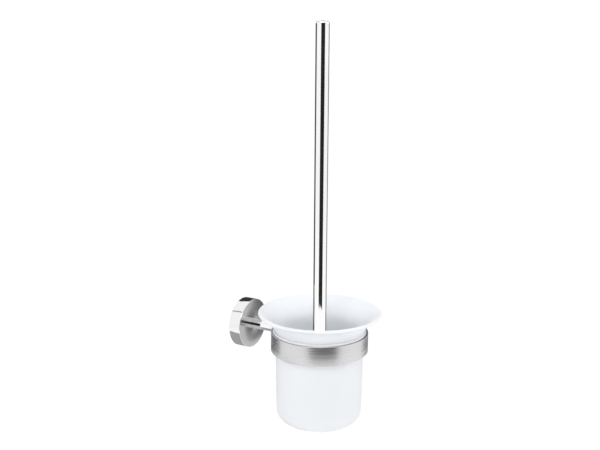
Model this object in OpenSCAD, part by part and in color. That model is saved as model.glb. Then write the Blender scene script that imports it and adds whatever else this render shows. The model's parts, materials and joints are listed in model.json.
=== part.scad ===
// Wall-mounted toilet brush holder with a frosted glass cup.
// +Z is up, the wall is the plane y = 0 and the holder stands out along -Y.
// The origin is the centre of the wall plate, on the wall, level with the arm.

/* [Wall rosette and arm] */
// Diameter of the round cover on the wall
rosette_d = 49; // [46:1:56]
// Depth of the cover, from the wall to its front face
rosette_h = 12.4; // [12:0.2:16]
// Diameter of the arm
arm_d = 10; // [9:0.5:12]
// Distance from the wall to the axis of the cup
reach = 88.5; // [86:0.5:105]
// Distance between the two wall screws
screw_pitch = 28; // [26:1:30]

/* [Ring] */
// Outer diameter of the ring
ring_d = 93.6; // [93:0.2:96]
// Height of the ring band
ring_h = 18.5; // [16:0.5:24]
// Wall thickness of the ring
ring_wall = 2; // [1.6:0.1:2]

/* [Glass cup] */
// Outer diameter of the cup inside the ring
cup_d = 85; // [84:0.5:85]
// Outer diameter of the cup at its foot
cup_foot_d = 83; // [80:0.5:84]
// Outer diameter of the flared rim
rim_d = 118; // [112:1:124]
// Height of the cup, from its foot to its rim
cup_h = 109.6; // [106:0.2:120]
// Thickness of the glass
glass = 3; // [2.5:0.1:3.4]

/* [Brush] */
// Outer diameter of the handle tube
handle_d = 12.7; // [12:0.1:13]
// Height of the top of the handle above the arm
handle_top = 295.5; // [250:0.5:320]
// Diameter across the bristles
bristle_d = 72; // [64:1:73]
// Number of rings of bristles
bristle_rings = 8; // [6:1:9]

/* [Hidden] */
$fn = 96;
round_fn = 48;       // small round things
arc_n = 10;          // steps in a profile arc
gap = 0.3;           // clearance between bodies that lift apart

ring_top = 5;
ring_r = ring_d / 2;
ring_in = ring_r - ring_wall;
ring_bottom = ring_top - ring_h;
edge = 0.5;          // broken edges on the metal

rosette_r = rosette_d / 2;
rosette_wall = 2;
face_t = 2.5;
face_back = rosette_h - face_t;
plate_r = rosette_r - rosette_wall - 0.4;
plate_t = 3;
plate_rim_h = 7;
plate_rim_t = 2;
plate_hole_r = 2.5;
grub_y = 4.2;
grub_r = 1.95;

screw_clear = 0.05;
m5_r = 2.5;
m4_r = 2;
washer_t = 1;
m5_head_r = 4.5;
m5_head_h = 2.8;
m5_into_arm = 12;
sink_r = 3.6;
sink_h = 1.3;
m4_into_arm = 9;

liner_in = cup_d / 2 + 1;
liner_bottom = ring_bottom + 0.5;
liner_top = ring_top + 1.8;   // the cup's flare rests just above this

cup_r = cup_d / 2;
foot_r = cup_foot_d / 2;
rim_r = rim_d / 2;
rim_z = 24.8;
foot_z = rim_z - cup_h;
foot_round = 12;
base_t = 4;
lip_r = glass / 2;
flare_z = 1;                                    // where the cup starts to spread
flare_turn = 69;                                // turn of the flare's curve, degrees
flare_a = (rim_r - lip_r * (1 - cos(flare_turn)) - cup_r) / (1 - cos(flare_turn));
flare_b = (rim_z - lip_r * (1 + sin(flare_turn)) - flare_z) / sin(flare_turn);

handle_r = handle_d / 2;
tube_wall = 1;
tube_in = handle_r - tube_wall;
tube_bottom = 0;
dome_h = 2.4;
tube_top = handle_top - dome_h;
plug_h = 12;
bush_h = 14;
stud_r = 4;
stud_h = 12;
seal_t = 1;

core_r = 9;
collar_r = 8.2;
core_top = tube_bottom - seal_t;
core_bottom = foot_z + base_t + 9;
tuft_bottom = foot_z + base_t + gap;
ring_step = 7.4;
bristle_t = 4.6;
bristle_r = bristle_d / 2;
first_ring = core_bottom + 1.5;   // underside of the lowest ring of bristles

// Places something drawn about Z on the axis of the cup.
module on_cup_axis() translate([0, -reach, 0]) children();

// Turns something drawn up +Z so that it points away from the wall, along -Y.
module out_from_wall(y = 0) translate([0, -y, 0]) rotate([90, 0, 0]) children();

// A point of an arc: centre, radii and angle.
function arc(c, a, b, from, to, n = arc_n) =
    [for (i = [0:n]) let (t = from + (to - from) * i / n) [c[0] + a * cos(t), c[1] + b * sin(t)]];

// A ring or disc about Z with its outer edges broken.
module band(r_out, r_in, z0, z1, e = edge)
    rotate_extrude()
        polygon([[r_in, z0], [r_out - e, z0], [r_out, z0 + e], [r_out, z1 - e], [r_out - e, z1], [r_in, z1]]);

module wall_plate()
    color("lightslategray") difference() {
        out_from_wall() cylinder(r = plate_r, h = plate_rim_h);
        out_from_wall(plate_t) cylinder(r = plate_r - plate_rim_t, h = plate_rim_h);
        for (side = [-1, 1])
            translate([side * screw_pitch / 2, 1, 0])
                rotate([90, 0, 0]) cylinder(r = plate_hole_r, h = plate_t + 2, $fn = round_fn);
    }

module rosette()
    color("silver") difference() {
        out_from_wall() rotate_extrude()
            polygon([[0, 0], [rosette_r, 0], [rosette_r, rosette_h - edge], [rosette_r - edge, rosette_h],
                     [0, rosette_h]]);
        out_from_wall(-1) cylinder(r = rosette_r - rosette_wall, h = face_back + 1);
        out_from_wall() cylinder(r = m5_r + screw_clear, h = rosette_h + 1, $fn = round_fn);
        translate([0, -grub_y, -rosette_r - 1])
            cylinder(r = m4_r, h = rosette_wall + 2, $fn = round_fn);
    }

module grub_screw()
    color("dimgray") translate([0, -grub_y, -rosette_r + 0.2]) difference() {
        cylinder(r = grub_r, h = rosette_r - plate_r - 0.25, $fn = round_fn);
        translate([0, 0, -1]) cylinder(r = 1.1, h = 2.1, $fn = 6);
    }

module arm()
    color("silver") difference() {
        out_from_wall(rosette_h) cylinder(r = arm_d / 2, h = reach - ring_in - rosette_h);
        on_cup_axis() translate([0, 0, -arm_d]) cylinder(r = ring_r, h = 2 * arm_d);
        out_from_wall(rosette_h - 1) cylinder(r = m5_r + screw_clear, h = m5_into_arm + 1, $fn = round_fn);
        out_from_wall(reach - ring_r - m4_into_arm) cylinder(r = m4_r, h = m4_into_arm + 2, $fn = round_fn);
    }

module arm_screw()
    color("dimgray") difference() {
        union() {
            out_from_wall(face_back - washer_t)
                cylinder(r = m5_r, h = face_t + washer_t + m5_into_arm - 1, $fn = round_fn);
            out_from_wall(face_back - washer_t - m5_head_h)
                cylinder(r = m5_head_r, h = m5_head_h, $fn = round_fn);
        }
        out_from_wall(face_back - washer_t - m5_head_h - 1) cylinder(r = 2.3, h = 2.6, $fn = 6);
    }

module arm_washer()
    color("gray") out_from_wall(face_back - washer_t) difference() {
        cylinder(r = m5_head_r + 0.7, h = washer_t, $fn = round_fn);
        translate([0, 0, -1]) cylinder(r = m5_r + 0.15, h = washer_t + 2, $fn = round_fn);
    }

// The countersunk hole and the screw share this outline, drawn from the head's flat face.
module countersunk(grow, length) {
    cylinder(r1 = sink_r + grow, r2 = m4_r + grow - screw_clear, h = sink_h, $fn = round_fn);
    cylinder(r = m4_r + grow - screw_clear, h = length, $fn = round_fn);
}

module holder_ring()
    color("silver") difference() {
        on_cup_axis() difference() {
            band(ring_r, ring_in - 1, ring_bottom, ring_top);
            translate([0, 0, ring_bottom - 1]) cylinder(r = ring_in, h = ring_h + 2);
        }
        translate([0, -reach + ring_in - 1, 0]) rotate([-90, 0, 0])
            cylinder(r = sink_r + screw_clear, h = 1.2, $fn = round_fn);
        translate([0, -reach + ring_in + 0.2, 0]) rotate([-90, 0, 0])
            countersunk(screw_clear, ring_wall + 2);
    }

module ring_screw()
    color("dimgray") translate([0, -reach + ring_in + 0.2, 0]) rotate([-90, 0, 0]) difference() {
        countersunk(0, m4_into_arm);
        translate([0, 0, -1]) cylinder(r = 1.3, h = 2, $fn = 6);
    }

module ring_liner()
    color("whitesmoke") on_cup_axis() translate([0, 0, liner_bottom]) difference() {
        cylinder(r = ring_in, h = liner_top - liner_bottom);
        translate([0, 0, -1]) cylinder(r = liner_in, h = liner_top - liner_bottom + 2);
    }

// The flare starts upright and turns outward. The inside is the outside moved in by the glass thickness.
function flare_out(t) = [cup_r + flare_a * (1 - cos(t)), flare_z + flare_b * sin(t)];
function flare_normal(t) = [flare_b * cos(t), -flare_a * sin(t)] / norm([flare_b * cos(t), flare_a * sin(t)]);
function flare(shift) =
    [for (i = [0:arc_n]) let (t = flare_turn * i / arc_n) flare_out(t) - shift * flare_normal(t)];
lip_mid = flare_out(flare_turn) - lip_r * flare_normal(flare_turn);
lip_lean = atan2(flare_normal(flare_turn)[1], flare_normal(flare_turn)[0]);

module glass_cup()
    color("ghostwhite", 0.6) on_cup_axis() rotate_extrude()
        polygon(concat(
            [[0, foot_z]],
            arc([foot_r - foot_round, foot_z + foot_round], foot_round, foot_round, -90, 0),
            flare(0),
            arc(lip_mid, lip_r, lip_r, lip_lean + 20, lip_lean + 160, 8),
            [for (i = [arc_n:-1:0]) flare(glass)[i]],
            arc([foot_r - foot_round, foot_z + foot_round], foot_round - glass, foot_round - base_t, 0, -90),
            [[0, foot_z + base_t]]));

module handle_tube()
    color("gainsboro") on_cup_axis() difference() {
        translate([0, 0, tube_bottom]) cylinder(r = handle_r, h = tube_top - tube_bottom);
        translate([0, 0, tube_bottom - 1]) cylinder(r = tube_in, h = tube_top - tube_bottom + 2);
    }

module handle_end_cap()
    color("gainsboro") on_cup_axis() rotate_extrude()
        polygon(concat(
            [[0, tube_top - plug_h], [tube_in, tube_top - plug_h], [tube_in, tube_top]],
            arc([handle_r - dome_h, tube_top], dome_h, dome_h, 0, 75),
            [[0, handle_top]]));

module handle_bush()
    color("burlywood") on_cup_axis() translate([0, 0, tube_bottom]) difference() {
        cylinder(r = tube_in, h = bush_h);
        translate([0, 0, -1]) cylinder(r = stud_r + screw_clear, h = bush_h + 2);
    }

module head_seal()
    color("black") on_cup_axis() translate([0, 0, core_top]) difference() {
        cylinder(r = handle_r, h = seal_t);
        translate([0, 0, -1]) cylinder(r = stud_r + 0.3, h = seal_t + 2);
    }

module brush_core()
    color("white") on_cup_axis() {
        rotate_extrude()
            polygon([[0, core_bottom], [core_r - 2, core_bottom], [core_r, core_bottom + 2],
                     [core_r, core_top - 9], [collar_r, core_top - 7], [collar_r, core_top - 3], [handle_r, core_top],
                     [stud_r, core_top], [stud_r, core_top + stud_h - 0.8], [stud_r - 0.8, core_top + stud_h],
                     [0, core_top + stud_h]]);
    }

// The tufts that point down from the end of the core, drawn as the plain solid that they fill.
module bristle_tip()
    color("white") on_cup_axis() rotate_extrude()
        polygon([[0, tuft_bottom], [bristle_r - 12, tuft_bottom], [bristle_r - 7, tuft_bottom + 3],
                 [bristle_r - 7, tuft_bottom + 5], [core_r - 3, core_bottom], [0, core_bottom]]);

// One ring of bristles, counted from the bottom, drawn as the plain disc that the soft tufts fill.
// The top and bottom rings are a little smaller.
function ring_reach(i) = bristle_r - (i == 1 ? 3 : i == bristle_rings ? 2 : 0);
module bristle_ring(i)
    color("white") on_cup_axis() translate([0, 0, first_ring + (i - 1) * ring_step]) difference() {
        cylinder(r = ring_reach(i), h = bristle_t);
        translate([0, 0, -1]) cylinder(r = core_r, h = bristle_t + 2);
    }

wall_plate();
rosette();
grub_screw();
arm();
arm_screw();
arm_washer();
holder_ring();
ring_screw();
ring_liner();
glass_cup();
handle_tube();
handle_end_cap();
handle_bush();
head_seal();
brush_core();
bristle_tip();
for (i = [1:bristle_rings])
    bristle_ring(i);
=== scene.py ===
"""The look of the wall-mounted toilet brush holder, built over its CAD frame.

Outlines and the sizes named here are in millimetres. Places in the scene are in metres, as in the frame:
the wall is the plane y = 0, the holder stands out along -Y, and +Z is up.
"""

import json
import math
import random

import bmesh
import bpy
from mathutils import Matrix, Vector

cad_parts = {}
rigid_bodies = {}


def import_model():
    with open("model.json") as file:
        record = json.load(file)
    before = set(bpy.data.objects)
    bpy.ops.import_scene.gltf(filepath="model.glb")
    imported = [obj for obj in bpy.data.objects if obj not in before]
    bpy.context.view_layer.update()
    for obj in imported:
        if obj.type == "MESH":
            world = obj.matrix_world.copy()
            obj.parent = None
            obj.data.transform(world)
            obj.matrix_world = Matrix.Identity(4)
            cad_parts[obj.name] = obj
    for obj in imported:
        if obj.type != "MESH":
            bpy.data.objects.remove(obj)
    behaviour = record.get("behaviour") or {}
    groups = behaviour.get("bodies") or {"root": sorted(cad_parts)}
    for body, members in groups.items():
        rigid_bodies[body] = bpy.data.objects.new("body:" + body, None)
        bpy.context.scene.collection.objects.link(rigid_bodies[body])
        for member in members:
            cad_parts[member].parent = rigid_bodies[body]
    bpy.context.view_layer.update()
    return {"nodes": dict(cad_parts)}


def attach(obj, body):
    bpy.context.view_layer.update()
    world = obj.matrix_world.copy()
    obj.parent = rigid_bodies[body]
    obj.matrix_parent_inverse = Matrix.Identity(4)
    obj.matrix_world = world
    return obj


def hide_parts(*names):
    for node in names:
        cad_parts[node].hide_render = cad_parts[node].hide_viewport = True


for old in list(bpy.data.objects):
    bpy.data.objects.remove(old)
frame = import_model()
random.seed(7)

# ---------------------------------------------------------------- sizes

MM = 0.001

REACH = 88.5                 # wall to the axis of the cup
ROSETTE_R = 24.5
ROSETTE_DEPTH = 12.4
ROSETTE_SIDE = 2.0           # thickness of its side
ROSETTE_FACE = 2.5           # thickness of its face
ARM_BORE_R = 2.6             # hole in the face for the arm's screw
GRUB_HOLE_R = 2.0
GRUB_FROM_WALL = 4.2
ARM_R = 5.0
ARM_INTO_RING = 0.3

RING_R = 46.8
RING_WALL = 2.0
RING_LOW = -13.5
RING_TOP = 5.0
LINER_IN = 43.5
LINER_LOW = -13.0
LINER_TOP = 6.8
LINER_SLACK = 0.03           # keeps the liner's outside off the ring's inside

GLASS = 3.0
CUP_R = 42.5                 # outside, within the ring
FOOT_R = 41.5
FOOT_ROUND = 12.0
FOOT_Z = -84.8
BASE = 4.0                   # thickness of the cup's floor
FLARE_Z = 1.0                # where the cup starts to spread
RIM_R = 59.0
RIM_Z = 24.8
FLARE_TURN = math.radians(69)
LIP_R = GLASS / 2

HANDLE_R = 6.35
TUBE_IN = 5.35
TUBE_TOP = 293.1
PLUG_LENGTH = 12.0
HANDLE_TOP = 295.5
DOME_EDGE = 2.4              # width of the dome's rounded edge
DOME_CROWN = 10.0            # radius of the dome's middle

CORE_R = 9.0
CORE_LOW = -71.8
BRISTLE_REACH = {1: 33, 8: 34}          # the end rings are shorter
BRISTLE_REACH_USUAL = 36
BRISTLE_RINGS = 8
RING_STEP = 7.4
FIRST_RING = -70.3                      # underside of the lowest ring
RING_DEPTH = 4.6
TUFTS = 16
HAIRS = 24
ROOT_R = 8.6                            # where the hairs start, inside the core
CROWN_HAIRS = 900
CROWN_Z = -80.3
GOLDEN_ANGLE = 2.399963
HAIR_R = 0.00017                        # metres

CUP = Vector((0, -REACH * MM, 0))                 # a point on the axis of the cup
UP = Matrix.Translation(CUP)                      # for pieces turned about the cup's axis
OUT = Matrix.Rotation(math.radians(90), 4, "X")   # for pieces that stand out from the wall, along -Y


# ---------------------------------------------------------------- outlines and turned pieces

def arc(cx, cy, a, b, start, end, steps):
    """Points of an elliptical arc, from one angle to another in degrees."""
    angles = [math.radians(start + (end - start) * i / steps) for i in range(steps + 1)]
    return [(cx + a * math.cos(t), cy + b * math.sin(t)) for t in angles]


def rounded(corners, steps=6):
    """A closed outline from (radius, height, rounding) corners."""
    points = []
    for i, (x, y, r) in enumerate(corners):
        here = Vector((x, y))
        if r == 0:
            points.append((x, y))
            continue
        back = Vector(corners[i - 1][:2]) - here
        on = Vector(corners[(i + 1) % len(corners)][:2]) - here
        half = back.angle(on) / 2
        run = r / math.tan(half)
        centre = here + (back.normalized() + on.normalized()).normalized() * (r / math.sin(half))
        first = here + back.normalized() * run - centre
        last = here + on.normalized() * run - centre
        turn = first.angle(last)
        side = 1 if first.x * last.y - first.y * last.x > 0 else -1
        for k in range(steps + 1):
            t = side * turn * k / steps
            points.append((centre.x + first.x * math.cos(t) - first.y * math.sin(t),
                           centre.y + first.x * math.sin(t) + first.y * math.cos(t)))
    return points


def linked(name, mesh):
    """An object for the mesh, in the scene."""
    piece = bpy.data.objects.new(name, mesh)
    bpy.context.scene.collection.objects.link(piece)
    return piece


def mesh_of(name, bm):
    """A mesh from a bmesh, which is then freed."""
    mesh = bpy.data.meshes.new(name)
    bm.to_mesh(mesh)
    bm.free()
    return mesh


def turned(name, outline, place, steps=160):
    """A closed outline of (radius, height) turned round Z, then put in place."""
    bm = bmesh.new()
    rings = []
    for r, z in outline:
        if r < 1e-6:
            rings.append([bm.verts.new((0, 0, z * MM))] * steps)
            continue
        angles = [2 * math.pi * k / steps for k in range(steps)]
        rings.append([bm.verts.new((r * MM * math.cos(t), r * MM * math.sin(t), z * MM)) for t in angles])
    for a, b in zip(rings, rings[1:] + rings[:1]):
        for k in range(steps):
            n = (k + 1) % steps
            corners = list(dict.fromkeys((a[k], a[n], b[n], b[k])))
            if len(corners) > 2:
                bm.faces.new(corners)
    bmesh.ops.recalc_face_normals(bm, faces=bm.faces)
    mesh = mesh_of(name, bm)
    mesh.transform(place)
    mesh.shade_smooth()
    mesh.set_sharp_from_angle(angle=math.radians(40))
    return linked(name, mesh)


def strands(name, lines, thick):
    """Many thin three-sided filaments in one mesh, each along a short line of points."""
    bm = bmesh.new()
    for line in lines:
        rings = []
        for k, p in enumerate(line):
            along = (line[min(k + 1, len(line) - 1)] - line[max(k - 1, 0)]).normalized()
            side = along.orthogonal().normalized()
            other = along.cross(side)
            r = thick * (1 - 0.3 * k / (len(line) - 1))
            rings.append([bm.verts.new(p + r * (side * math.cos(t) + other * math.sin(t)))
                          for t in (0, 2 * math.pi / 3, 4 * math.pi / 3)])
        for a, b in zip(rings, rings[1:]):
            for k in range(3):
                bm.faces.new((a[k], a[(k + 1) % 3], b[(k + 1) % 3], b[k]))
        bm.faces.new(rings[0][::-1])
        bm.faces.new(rings[-1])
    bmesh.ops.recalc_face_normals(bm, faces=bm.faces)
    mesh = mesh_of(name, bm)
    mesh.shade_smooth()
    return linked(name, mesh)


# ---------------------------------------------------------------- materials

def distance_from_y(nodes, links, where):
    """The distance from the Y axis as a vector's X, for the rings of a turned face."""
    split = nodes.new("ShaderNodeSeparateXYZ")
    flat = nodes.new("ShaderNodeCombineXYZ")
    length = nodes.new("ShaderNodeVectorMath")
    length.operation = "LENGTH"
    result = nodes.new("ShaderNodeCombineXYZ")
    links.new(where, split.inputs[0])
    links.new(split.outputs["X"], flat.inputs["X"])
    links.new(split.outputs["Z"], flat.inputs["Z"])
    links.new(flat.outputs[0], length.inputs[0])
    links.new(length.outputs["Value"], result.inputs["X"])
    return result.outputs[0]


def surface(name, colour, rough, spread, grain, bump, metallic=0.0, tint=0.04, radial=False, **sockets):
    """A procedural finish. grain is the noise frequency per metre along X, Y and Z. Unequal values draw lines.
    Roughness runs over rough +- spread, the colour varies by tint, and bump is the depth of the grain in metres.
    With radial the grain follows the distance from the Y axis, as on a face that was turned."""
    mat = bpy.data.materials.new(name)
    mat.use_nodes = True
    nodes, links = mat.node_tree.nodes, mat.node_tree.links
    shader = nodes["Principled BSDF"]
    where = nodes.new("ShaderNodeTexCoord").outputs["Object"]
    if radial:
        where = distance_from_y(nodes, links, where)
    mapping = nodes.new("ShaderNodeMapping")
    mapping.inputs["Scale"].default_value = grain
    noise = nodes.new("ShaderNodeTexNoise")
    noise.inputs["Scale"].default_value = 1.0
    noise.inputs["Detail"].default_value = 3.0
    links.new(where, mapping.inputs["Vector"])
    links.new(mapping.outputs[0], noise.inputs["Vector"])

    to_rough = nodes.new("ShaderNodeMapRange")
    to_rough.inputs["From Min"].default_value = 0.3
    to_rough.inputs["From Max"].default_value = 0.7
    to_rough.inputs["To Min"].default_value = rough - spread
    to_rough.inputs["To Max"].default_value = rough + spread
    links.new(noise.outputs["Fac"], to_rough.inputs["Value"])
    links.new(to_rough.outputs[0], shader.inputs["Roughness"])

    ramp = nodes.new("ShaderNodeValToRGB")
    low, high = ramp.color_ramp.elements
    low.position = 0.3
    high.position = 0.7
    low.color = [c * (1 - tint) for c in colour] + [1]
    high.color = [min(1, c * (1 + tint)) for c in colour] + [1]
    links.new(noise.outputs["Fac"], ramp.inputs["Fac"])
    links.new(ramp.outputs["Color"], shader.inputs["Base Color"])

    relief = nodes.new("ShaderNodeBump")
    relief.inputs["Strength"].default_value = 1.0
    relief.inputs["Distance"].default_value = bump
    links.new(noise.outputs["Fac"], relief.inputs["Height"])
    links.new(relief.outputs[0], shader.inputs["Normal"])

    shader.inputs["Metallic"].default_value = metallic
    for socket, value in sockets.items():
        shader.inputs[socket.replace("_", " ")].default_value = value
    return mat


polished = surface("polished_steel", (0.90, 0.90, 0.90), 0.045, 0.015, (900, 900, 25), 1e-7, 1.0, 0.01)
polished_side = surface("polished_rosette_side", (0.84, 0.84, 0.84), 0.09, 0.03, (30, 1500, 30), 2e-7,
                        1.0, 0.01)
satin_face = surface("satin_rosette_face", (0.45, 0.45, 0.455), 0.15, 0.04, (2600, 1, 1), 1.5e-6,
                     1.0, 0.05, radial=True)
brushed_ring = surface("brushed_ring", (0.68, 0.675, 0.68), 0.31, 0.09, (12, 12, 3200), 2.5e-6, 1.0, 0.09,
                       Anisotropic=0.35)
frosted = surface("frosted_glass", (0.928, 0.955, 0.996), 0.52, 0.05, (1500, 1500, 1500), 4e-6, 0.0, 0.004,
                  Transmission_Weight=0.25, IOR=1.5, Subsurface_Weight=0.35,
                  Subsurface_Scale=0.004, Subsurface_Radius=(1, 1, 1))
soft_liner = surface("soft_liner", (0.80, 0.82, 0.84), 0.42, 0.06, (600, 600, 600), 3e-6, 0.0, 0.03)
core_plastic = surface("moulded_core", (0.86, 0.87, 0.88), 0.34, 0.06, (350, 350, 350), 4e-6, 0.0, 0.02)
nylon = surface("nylon_bristle", (0.88, 0.89, 0.90), 0.38, 0.08, (500, 500, 500), 2e-6, 0.0, 0.05)
zinc = surface("zinc_plate", (0.55, 0.57, 0.60), 0.36, 0.08, (160, 160, 160), 6e-6, 1.0, 0.10)
screw = surface("screw_steel", (0.42, 0.42, 0.43), 0.32, 0.06, (1200, 1200, 1200), 2e-6, 1.0, 0.06)
brass = surface("turned_brass", (0.78, 0.60, 0.30), 0.28, 0.05, (20, 20, 2500), 2e-6, 1.0, 0.05)
rubber = surface("seal_rubber", (0.03, 0.03, 0.03), 0.72, 0.08, (900, 900, 900), 8e-6, 0.0, 0.20)


def finish_piece(piece, body, node, slot, *mats):
    """Gives a new piece its materials and its body, and hides the CAD node it stands for. The slot argument is
    not used.
    """
    for mat in mats:
        piece.data.materials.append(mat)
    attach(piece, body)
    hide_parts(node)


# ---------------------------------------------------------------- wall rosette and arm

FACE_BACK = ROSETTE_DEPTH - ROSETTE_FACE
rosette = turned("rosette_shell",
                 rounded([(ROSETTE_R, 0, 0.15), (ROSETTE_R, ROSETTE_DEPTH, 0.45),
                          (ARM_BORE_R, ROSETTE_DEPTH, 0.1), (ARM_BORE_R, FACE_BACK, 0.1),
                          (ROSETTE_R - ROSETTE_SIDE, FACE_BACK, 0.6), (ROSETTE_R - ROSETTE_SIDE, 0, 0.15)]),
                 OUT, 192)
cutter = turned("grub_hole", [(0, -30), (GRUB_HOLE_R, -30), (GRUB_HOLE_R, -20), (0, -20)],
                Matrix.Translation((0, -GRUB_FROM_WALL * MM, 0)), 48)
cut = rosette.modifiers.new("hole", "BOOLEAN")
cut.operation = "DIFFERENCE"
cut.solver = "EXACT"
cut.object = cutter
with_hole = bpy.data.meshes.new_from_object(rosette.evaluated_get(bpy.context.evaluated_depsgraph_get()))
rosette.modifiers.clear()
rosette.data = with_hole
bpy.data.objects.remove(cutter)
finish_piece(rosette, "holder", "rosette", "brushed_steel", polished_side, satin_face)
for face in rosette.data.polygons:
    in_front = face.normal.y < -0.9 and face.center.y < -0.012
    face.material_index = 1 if in_front else 0

ARM_END = REACH - RING_R + ARM_INTO_RING
arm = turned("arm_bar", [(0, ROSETTE_DEPTH), (ARM_R, ROSETTE_DEPTH), (ARM_R, ARM_END), (0, ARM_END)], OUT, 96)
finish_piece(arm, "holder", "arm", "polished_steel", polished)

# ---------------------------------------------------------------- ring and liner

RING_IN = RING_R - RING_WALL
ring = turned("ring_band", rounded([(RING_R, RING_LOW, 0.45), (RING_R, RING_TOP, 0.45),
                                    (RING_IN, RING_TOP, 0.3), (RING_IN, RING_LOW, 0.3)]), UP, 224)
finish_piece(ring, "holder", "holder_ring", "ring_steel", brushed_ring)

LINER_R = RING_IN - LINER_SLACK
liner = turned("liner_sleeve", rounded([(LINER_R, LINER_LOW, 0.3), (LINER_R, LINER_TOP, 0.4),
                                        (LINER_IN, LINER_TOP, 0.4), (LINER_IN, LINER_LOW, 0.3)]), UP)
finish_piece(liner, "holder", "ring_liner", "liner_plastic", soft_liner)

# ---------------------------------------------------------------- glass cup

FLARE_A = (RIM_R - LIP_R * (1 - math.cos(FLARE_TURN)) - CUP_R) / (1 - math.cos(FLARE_TURN))
FLARE_B = (RIM_Z - LIP_R * (1 + math.sin(FLARE_TURN)) - FLARE_Z) / math.sin(FLARE_TURN)


def flare(inward, steps=28):
    """The flare's curve from the straight wall to the lip, moved in from the outside by a distance."""
    points = []
    for i in range(steps + 1):
        t = FLARE_TURN * i / steps
        n = Vector((FLARE_B * math.cos(t), -FLARE_A * math.sin(t))).normalized()
        points.append((CUP_R + FLARE_A * (1 - math.cos(t)) - inward * n.x,
                       FLARE_Z + FLARE_B * math.sin(t) - inward * n.y))
    return points


FOOT_X = FOOT_R - FOOT_ROUND
FOOT_Y = FOOT_Z + FOOT_ROUND
lip_x, lip_y = flare(LIP_R)[-1]
lip_from = math.degrees(math.atan2(-FLARE_A * math.sin(FLARE_TURN), FLARE_B * math.cos(FLARE_TURN)))
cup_outline = ([(0, FOOT_Z)]
               + arc(FOOT_X, FOOT_Y, FOOT_ROUND, FOOT_ROUND, -90, 0, 20)
               + flare(0)
               + arc(lip_x, lip_y, LIP_R, LIP_R, lip_from + 12, lip_from + 168, 14)
               + flare(GLASS)[::-1]
               + arc(FOOT_X, FOOT_Y, FOOT_ROUND - GLASS, FOOT_ROUND - BASE, 0, -90, 20)
               + [(0, FOOT_Z + BASE)])
cup = turned("frosted_cup", cup_outline, UP, 192)
finish_piece(cup, "cup", "glass_cup", "frosted_glass", frosted)
for hider in (cup, ring, liner):
    hider.visible_glossy = False   # so that the handle mirrors more of the studio below the rim

# ---------------------------------------------------------------- handle

tube = turned("handle_tube_skin", rounded([(HANDLE_R, 0, 0.25), (HANDLE_R, TUBE_TOP, 0),
                                           (TUBE_IN, TUBE_TOP, 0), (TUBE_IN, 0, 0.1)]), UP, 128)
finish_piece(tube, "handle", "handle_tube", "polished_steel", polished)

PLUG_SLACK = 0.02            # keeps the plug off the tube's inside
PLUG_R = TUBE_IN - PLUG_SLACK
dome = turned("handle_dome",
              [(0, TUBE_TOP - PLUG_LENGTH), (PLUG_R, TUBE_TOP - PLUG_LENGTH),
               (PLUG_R, TUBE_TOP), (HANDLE_R, TUBE_TOP)]
              + arc(HANDLE_R - DOME_EDGE, TUBE_TOP, DOME_EDGE, 2.05, 0, 80, 12)
              + arc(0, HANDLE_TOP - DOME_CROWN, DOME_CROWN, DOME_CROWN, 65, 90, 8)[1:], UP, 128)
finish_piece(dome, "handle", "handle_end_cap", "polished_steel", polished)

# ---------------------------------------------------------------- brush head

core = turned("core_body",
              rounded([(0, CORE_LOW, 0), (CORE_R, CORE_LOW, 1.4), (CORE_R, -10, 0.4), (8.2, -8, 0.4),
                       (8.2, -4, 0.4), (HANDLE_R, -1, 0.1), (4, -1, 0), (4, 11, 0.6), (0, 11, 0)], 4),
              UP, 96)
finish_piece(core, "brush_head", "brush_core", "white_plastic", core_plastic)


def on_axis(r, angle, z):
    """A point at a radius, angle and height about the cup's axis."""
    return CUP + Vector((r * math.cos(angle), r * math.sin(angle), z)) * MM


def side_hair(angle, middle, reach):
    """One hair that leaves the core sideways, a little out of line."""
    fan, rise = random.gauss(0, 0.075), random.gauss(0, 1.5)
    long = reach - abs(random.gauss(0, 0.5))
    droop = random.uniform(-0.5, 0.3)
    end = max(-3.4, min(3.4, rise + droop))
    return [on_axis(ROOT_R, angle + fan * 0.9, middle + rise * 0.4),
            on_axis(ROOT_R + (long - ROOT_R) * 0.55, angle + fan * 1.5, middle + rise * 0.7),
            on_axis(long, angle + fan * 2.1, middle + end)]


for ring_no in range(1, BRISTLE_RINGS + 1):
    middle = FIRST_RING + (ring_no - 1) * RING_STEP + RING_DEPTH / 2
    reach = BRISTLE_REACH.get(ring_no, BRISTLE_REACH_USUAL) - 0.3
    hairs = []
    for tuft in range(TUFTS):
        angle = 2 * math.pi * (tuft + 0.5 * (ring_no % 2)) / TUFTS
        hairs += [side_hair(angle, middle, reach) for _ in range(HAIRS)]
    tufts = strands(f"bristles_{ring_no}", hairs, HAIR_R)
    finish_piece(tufts, "brush_head", f"bristle_ring_{ring_no}", "bristle_nylon", nylon)

hairs = []
for k in range(CROWN_HAIRS):
    angle = k * GOLDEN_ANGLE
    out = math.sqrt((k + 0.5) / CROWN_HAIRS)
    end_z = CROWN_Z + 3.4 * out ** 4
    hairs.append([on_axis(8.2 * out, angle, -71.4), on_axis(16 * out, angle, -75.5),
                  on_axis(27.5 * out, angle + random.uniform(-0.06, 0.06), end_z + random.uniform(0, 0.5))])
crown = strands("bristles_end", hairs, HAIR_R)
finish_piece(crown, "brush_head", "bristle_tip", "bristle_nylon", nylon)

# ---------------------------------------------------------------- CAD nodes that are shown as they are

for node, mat in (("wall_plate", zinc), ("grub_screw", screw), ("arm_screw", screw), ("arm_washer", screw),
                  ("ring_screw", screw), ("handle_bush", brass), ("head_seal", rubber)):
    mesh = frame["nodes"][node].data
    mesh.materials.clear()
    mesh.materials.append(mat)

# ---------------------------------------------------------------- camera

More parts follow.
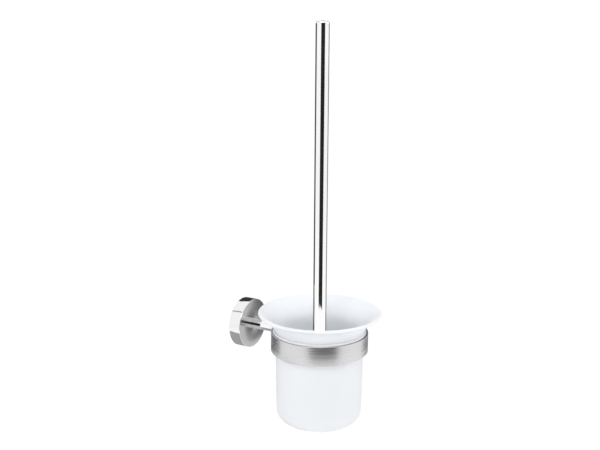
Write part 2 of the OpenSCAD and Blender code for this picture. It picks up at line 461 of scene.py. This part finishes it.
AZIMUTH = math.radians(-60.1)
PITCH = math.radians(11.8)
ROLL = math.radians(0.3)
DISTANCE = 0.8056            # along the view, to a point on the cup's axis
AIM_BELOW = 0.0095           # that point, below the arm
AIM_RIGHT = 0.024            # its slopes to the right of the picture's centre and below it
AIM_DOWN = 0.144

forward = Vector((-math.sin(AZIMUTH) * math.cos(PITCH),
                  math.cos(AZIMUTH) * math.cos(PITCH),
                  -math.sin(PITCH)))
level = Vector((math.cos(AZIMUTH), math.sin(AZIMUTH), 0))
upright = level.cross(forward)
aim = CUP + Vector((0, 0, -AIM_BELOW))
eye = aim - (forward + level * AIM_RIGHT - upright * AIM_DOWN) * DISTANCE
right = level * math.cos(ROLL) + upright * math.sin(ROLL)
up = upright * math.cos(ROLL) - level * math.sin(ROLL)
camera = bpy.data.objects.new("camera", bpy.data.cameras.new("camera"))
camera.data.lens = 50
camera.data.sensor_width = 36
camera.data.clip_start = 0.01
camera.data.clip_end = 60
camera.matrix_world = Matrix.Translation(eye) @ Matrix((right, up, -forward)).transposed().to_4x4()
bpy.context.scene.collection.objects.link(camera)
bpy.context.scene.camera = camera

# ---------------------------------------------------------------- studio

FLOOR_Z = -0.6
FLOOR_HALF = 30
CARD_AWAY = 1.4              # from the cup's axis to the curved cards
CARD_LOW = -0.59

world = bpy.data.worlds.new("studio")
world.use_nodes = True
world.node_tree.nodes["Background"].inputs["Color"].default_value = (1, 1, 1, 1)
world.node_tree.nodes["Background"].inputs["Strength"].default_value = 1.05
bpy.context.scene.world = world
bpy.context.scene.view_settings.view_transform = "Standard"   # white stays white


def stage_sheet(name, corners, mat):
    """A flat stage piece."""
    mesh = bpy.data.meshes.new(name)
    mesh.from_pydata(corners, [], [range(len(corners))])
    mesh.materials.append(mat)
    piece = linked(name, mesh)
    return piece


def card_finish(name, shade):
    """The matt finish of a card."""
    return surface(name, (shade, shade, shade), 0.9, 0.05, (5, 5, 5), 1e-5, 0.0, 0.02)


def reflected_only(piece):
    """Hides a card from everything but reflections."""
    piece.visible_camera = False
    piece.visible_diffuse = False
    piece.visible_transmission = False
    piece.visible_shadow = False


def curved_card(name, angle_from, angle_to, low, high, shade, steps=8):
    """A card curved round the cup's axis, seen only in reflections.
    The angles are in degrees, to the right of the direction from the cup to the camera."""
    mat = card_finish(name, shade)
    toward = -Vector((forward.x, forward.y, 0)).normalized()
    bm = bmesh.new()
    for i in range(steps):
        turns = [math.radians(angle_from + (angle_to - angle_from) * k / steps) for k in (i, i + 1)]
        a, b = [CUP + (toward * math.cos(t) + level * math.sin(t)) * CARD_AWAY for t in turns]
        corners = ((a.x, a.y, low), (b.x, b.y, low), (b.x, b.y, high), (a.x, a.y, high))
        bm.faces.new([bm.verts.new(v) for v in corners])
    mesh = mesh_of(name, bm)
    mesh.materials.append(mat)
    piece = linked(name, mesh)
    reflected_only(piece)


def flat_card(name, corners, shade):
    """A flat card, seen only in reflections."""
    reflected_only(stage_sheet(name, corners, card_finish(name, shade)))


def lamp(name, place, size, power):
    """A soft area lamp that faces the cup."""
    data = bpy.data.lights.new(name, "AREA")
    data.size = size
    data.energy = power
    lit = bpy.data.objects.new(name, data)
    lit.location = place
    lit.rotation_euler = (CUP - Vector(place)).to_track_quat("-Z", "Y").to_euler()
    bpy.context.scene.collection.objects.link(lit)


floor_mat = surface("pale_floor", (0.97, 0.97, 0.97), 0.8, 0.05, (3, 3, 3), 1e-5, 0.0, 0.005)
floor_sides = ((-1, -1), (1, -1), (1, 1), (-1, 1))
stage_sheet("floor", [(x * FLOOR_HALF, y * FLOOR_HALF, FLOOR_Z) for x, y in floor_sides], floor_mat)

# The handle and ring mirror the first three. The rosette's side mirrors the rest.
curved_card("card_front", -24, 41, CARD_LOW, 0.7, 0.003)
curved_card("card_left_edge", -178, -106, CARD_LOW, 0.36, 0.05)
curved_card("card_right_edge", 118, 178, CARD_LOW, 0.36, 0.20)
curved_card("card_back_high", 150, 205, 0.36, 1.3, 0.02)
flat_card("card_rosette_0.32",
          [(-0.6, 0.15, -0.5), (0.6, 0.15, -0.5), (0.6, 0.7, -0.5), (-0.6, 0.7, -0.5)], 0.32)
flat_card("card_rosette_0.02",
          [(-0.47, 0.1, 0.75), (-0.42, 0.1, 0.78), (-0.42, 1.0, 0.78), (-0.47, 1.0, 0.75)], 0.02)

lamp("key", (-1.1, -0.3, 1.2), 0.8, 5)
lamp("fill", (0.9, -1.3, 0.8), 0.8, 2)
